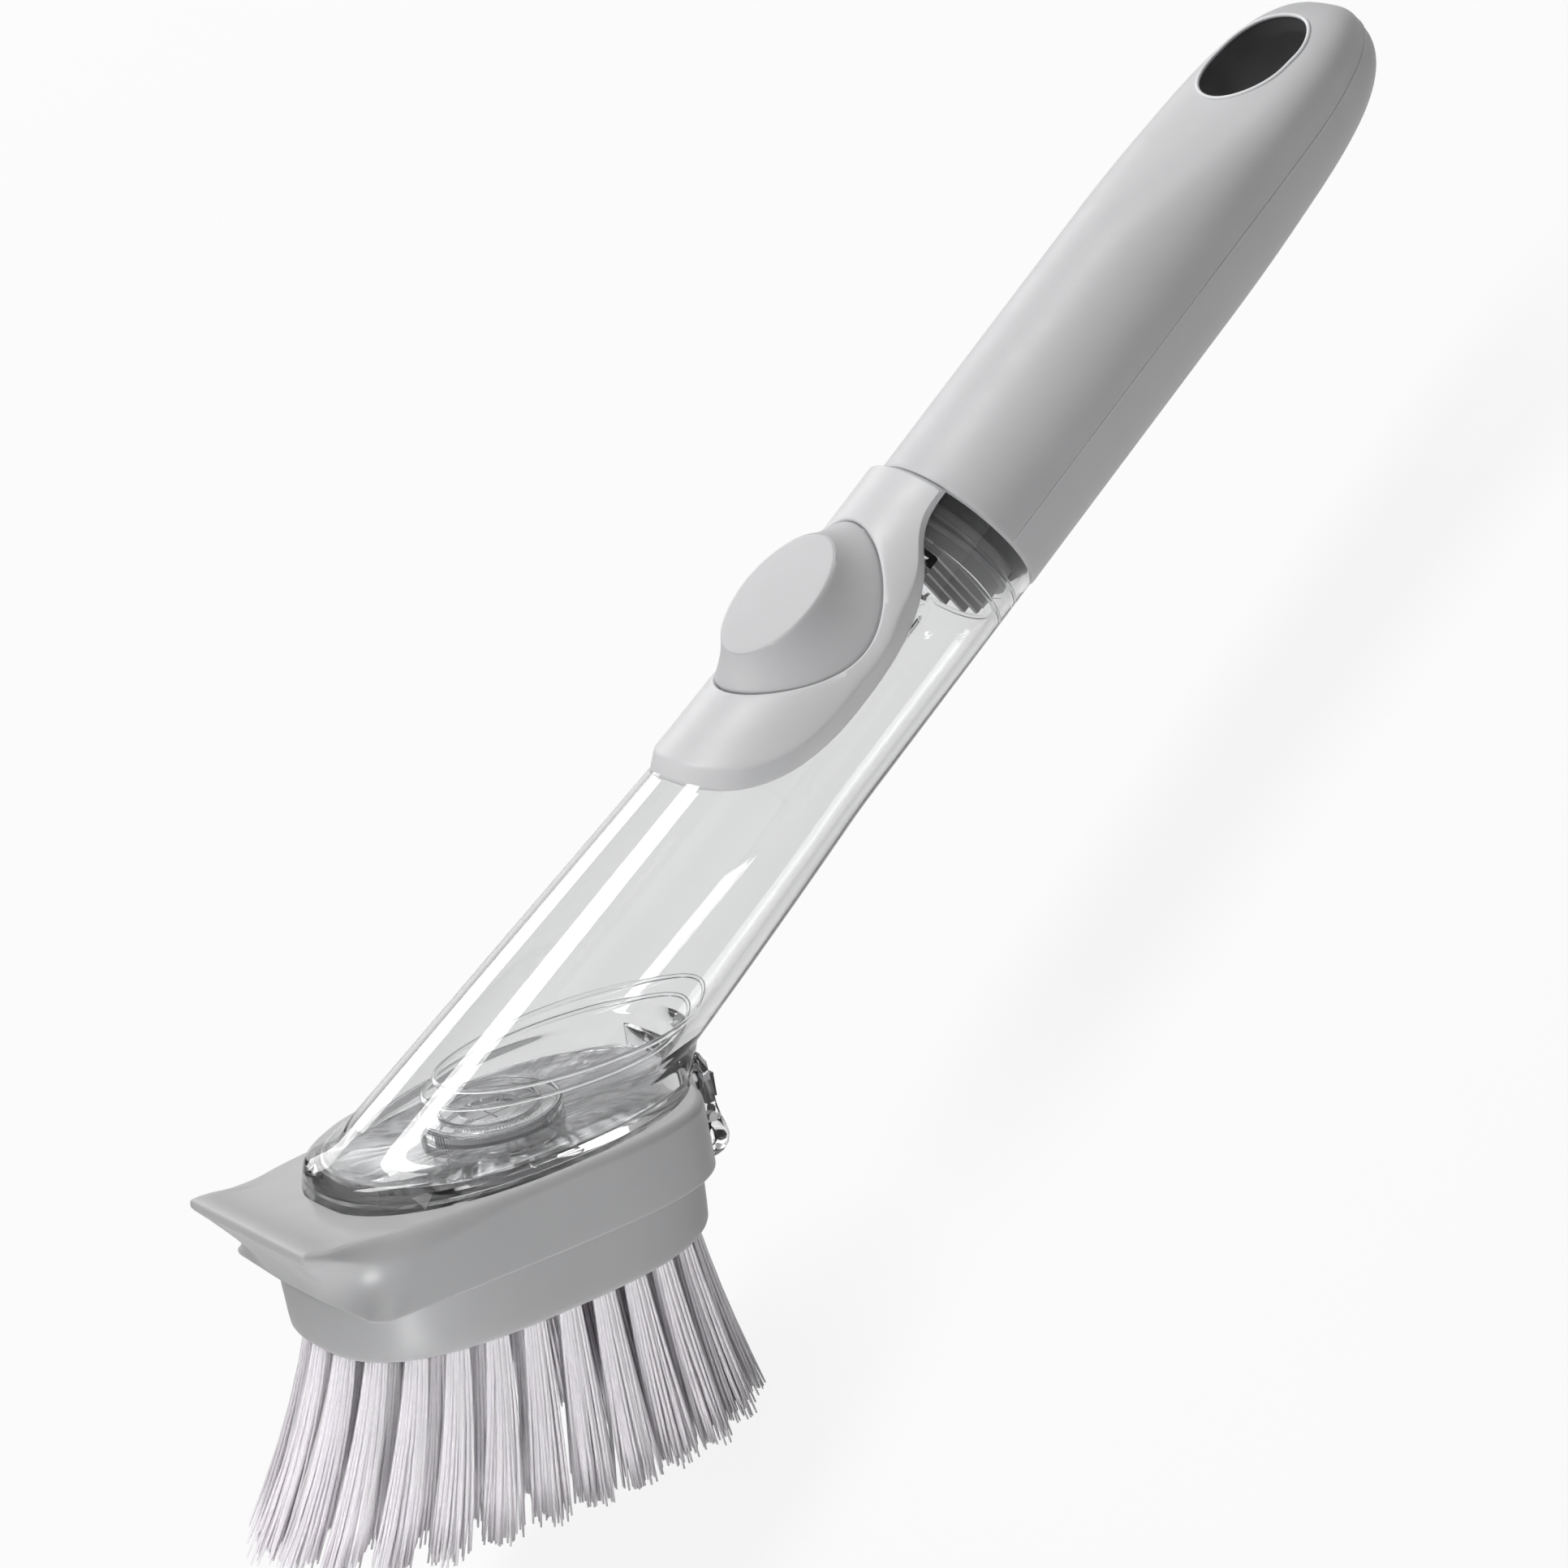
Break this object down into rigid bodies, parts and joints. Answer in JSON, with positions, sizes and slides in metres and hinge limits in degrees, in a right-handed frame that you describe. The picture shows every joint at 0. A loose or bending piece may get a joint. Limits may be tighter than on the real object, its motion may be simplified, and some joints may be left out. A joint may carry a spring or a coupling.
{
  "type": "soap dispensing dish brush",
  "caption": "Dish wand with a clear soap reservoir, press button, twist-off handle with hang hole, and a clip-on oval brush head with scraper edge.",
  "frame": {"origin": "centre of the hang hole near the handle's tip, on the axis of handle and tube", "axes": "+X along the tube's axis towards the handle's tip, +Z out of the hang hole on the button side, +Y to the left side; the head is tilted at the -X end"},
  "size_m": [0.2884, 0.0493, 0.0865],
  "materials": {
    "grip": "satin soft touch",
    "dark_plastic": "satin",
    "gasket": "matt",
    "clear_plastic": "polished, transparent",
    "silicone": "translucent matt",
    "grey_plastic": "satin",
    "bristle": "translucent nylon",
    "steel": "plain"
  },
  "bodies": {
    "tube": {"reservoir": "clear_plastic", "foot_plate": "clear_plastic", "outlet_valve": "silicone", "valve_retainer": "clear_plastic", "button_panel": "grey_plastic", "pump_diaphragm": "silicone", "pump_ring": "clear_plastic", "latch_pin": "steel"},
    "seal": {"plug_gasket": "gasket"},
    "handle": {"grip_skin": "grip", "handle_core": "dark_plastic", "hang_liner": "dark_plastic", "neck_plug": "dark_plastic"},
    "button": {"button_cap": "grey_plastic"},
    "latch": {"release_latch": "dark_plastic"},
    "head": {"head_cover": "grey_plastic", "bristle_block": "grey_plastic", "bristles_outer": "bristle", "bristles_middle": "bristle", "bristles_inner": "bristle", "tuft_anchors": "steel"}
  },
  "joints": [
    {"name": "handle_travel", "type": "slide", "parent": "tube", "child": "seal", "axis": [1, 0, 0], "range_m": [0, 0.00601]},
    {"name": "handle_unscrew", "type": "hinge", "parent": "seal", "child": "handle", "pos_m": [-0.088, 0, 0], "axis": [1, 0, 0], "range_deg": [0, 720]},
    {"name": "button_press", "type": "slide", "parent": "tube", "child": "button", "axis": [0, 0, -1], "range_m": [0, 0.0025], "stiffness_N_per_m": 1200, "springref_m": -0.001, "deforming": ["pump_diaphragm"]},
    {"name": "latch_press", "type": "hinge", "parent": "tube", "child": "latch", "pos_m": [-0.18268, 0, -0.02333], "axis": [0, -1, 0], "range_deg": [0, 10], "stiffness_Nm_per_rad": 0.15, "springref_deg": -5.73},
    {"name": "head_release", "type": "slide", "parent": "tube", "child": "head", "axis": [-0.5577, 0, -0.83], "range_m": [0, 0.012]}
  ],
  "couplings": [
    {"joint": "handle_travel", "follows": "handle_unscrew", "m_per_rad": 0.00047746}
  ]
}
